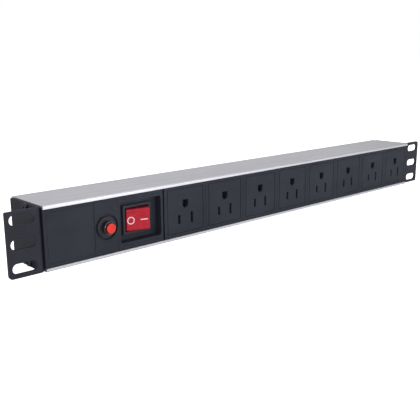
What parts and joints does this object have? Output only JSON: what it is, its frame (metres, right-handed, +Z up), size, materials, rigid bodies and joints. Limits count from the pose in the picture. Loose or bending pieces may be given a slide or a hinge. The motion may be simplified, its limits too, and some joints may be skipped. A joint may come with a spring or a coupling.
{
  "type": "rack power strip",
  "caption": "Rack-mount power strip: an aluminium channel with slotted ears, a row of three-pin outlets, a red rocker switch in a well and a push-to-reset breaker.",
  "frame": {"origin": "middle of the rack mounting plane, the back face of the two ears", "axes": "+X to the right along the strip, +Z up, front at -Y, depth towards +Y"},
  "size_m": [0.4826, 0.0516, 0.0444],
  "materials": {
    "aluminium_body": "satin anodised",
    "ear_paint": "fine textured powder coat",
    "steel": "zinc plated",
    "black_steel": "black oxide",
    "face_plastic": "satin",
    "black_plastic": "satin",
    "red_plastic": "translucent gloss",
    "white_plastic": "satin",
    "brass": "plain",
    "sheet_plastic": "fibre sheet",
    "black_lead": "soft vinyl",
    "white_lead": "soft vinyl",
    "green_lead": "soft vinyl"
  },
  "bodies": {
    "strip": {"housing_extrusion": "aluminium_body", "left_rack_ear": "ear_paint", "right_rack_ear": "ear_paint", "left_ear_screws": "black_steel", "right_ear_screws": "black_steel", "blank_panel": "face_plastic", "control_panel": "face_plastic", "hot_bus": "brass", "neutral_bus": "brass", "ground_bus": "brass", "switch_frame": "black_plastic", "switch_terminals": "brass", "breaker_case": "black_plastic", "breaker_cover": "black_plastic", "breaker_ring_nut": "black_plastic", "breaker_terminals": "brass", "inlet_shell": "black_plastic", "inlet_pins": "brass", "earth_screw": "steel", "earth_nut": "steel", "earth_lug": "steel", "insulating_sheet": "sheet_plastic", "lead_inlet_to_breaker": "black_lead", "lead_breaker_to_switch": "black_lead", "lead_switch_to_hot_bus": "black_lead", "lead_inlet_to_switch": "white_lead", "lead_switch_to_neutral_bus": "white_lead", "lead_inlet_to_earth": "green_lead", "lead_earth_to_bus": "green_lead", "outlet_face_1": "face_plastic", "outlet_face_2": "face_plastic", "outlet_face_3": "face_plastic", "outlet_face_4": "face_plastic", "outlet_face_5": "face_plastic", "outlet_face_6": "face_plastic", "outlet_face_7": "face_plastic", "outlet_face_8": "face_plastic", "outlet_cover_1": "black_plastic", "outlet_cover_2": "black_plastic", "outlet_cover_3": "black_plastic", "outlet_cover_4": "black_plastic", "outlet_cover_5": "black_plastic", "outlet_cover_6": "black_plastic", "outlet_cover_7": "black_plastic", "outlet_cover_8": "black_plastic"},
    "rocker": {"rocker": "red_plastic", "rocker_marks": "white_plastic", "rocker_plungers": "white_plastic", "plunger_springs": "steel"},
    "contacts": {"moving_contacts": "brass"},
    "reset": {"reset_button": "red_plastic", "breaker_contact_bar": "brass"}
  },
  "joints": [
    {"name": "rocker_hinge", "type": "hinge", "parent": "strip", "child": "rocker", "pos_m": [-0.1389, 0.0042, 0], "axis": [0, 0, 1], "range_deg": [0, 32]},
    {"name": "contact_hinge", "type": "hinge", "parent": "strip", "child": "contacts", "pos_m": [-0.1389, 0.0134, 0], "axis": [0, 0, 1], "range_deg": [-24, 0]},
    {"name": "reset_slide", "type": "slide", "parent": "strip", "child": "reset", "axis": [0, -1, 0], "range_m": [0, 0.0035]}
  ],
  "couplings": [
    {"joint": "contact_hinge", "follows": "rocker_hinge", "ratio": -0.75}
  ]
}
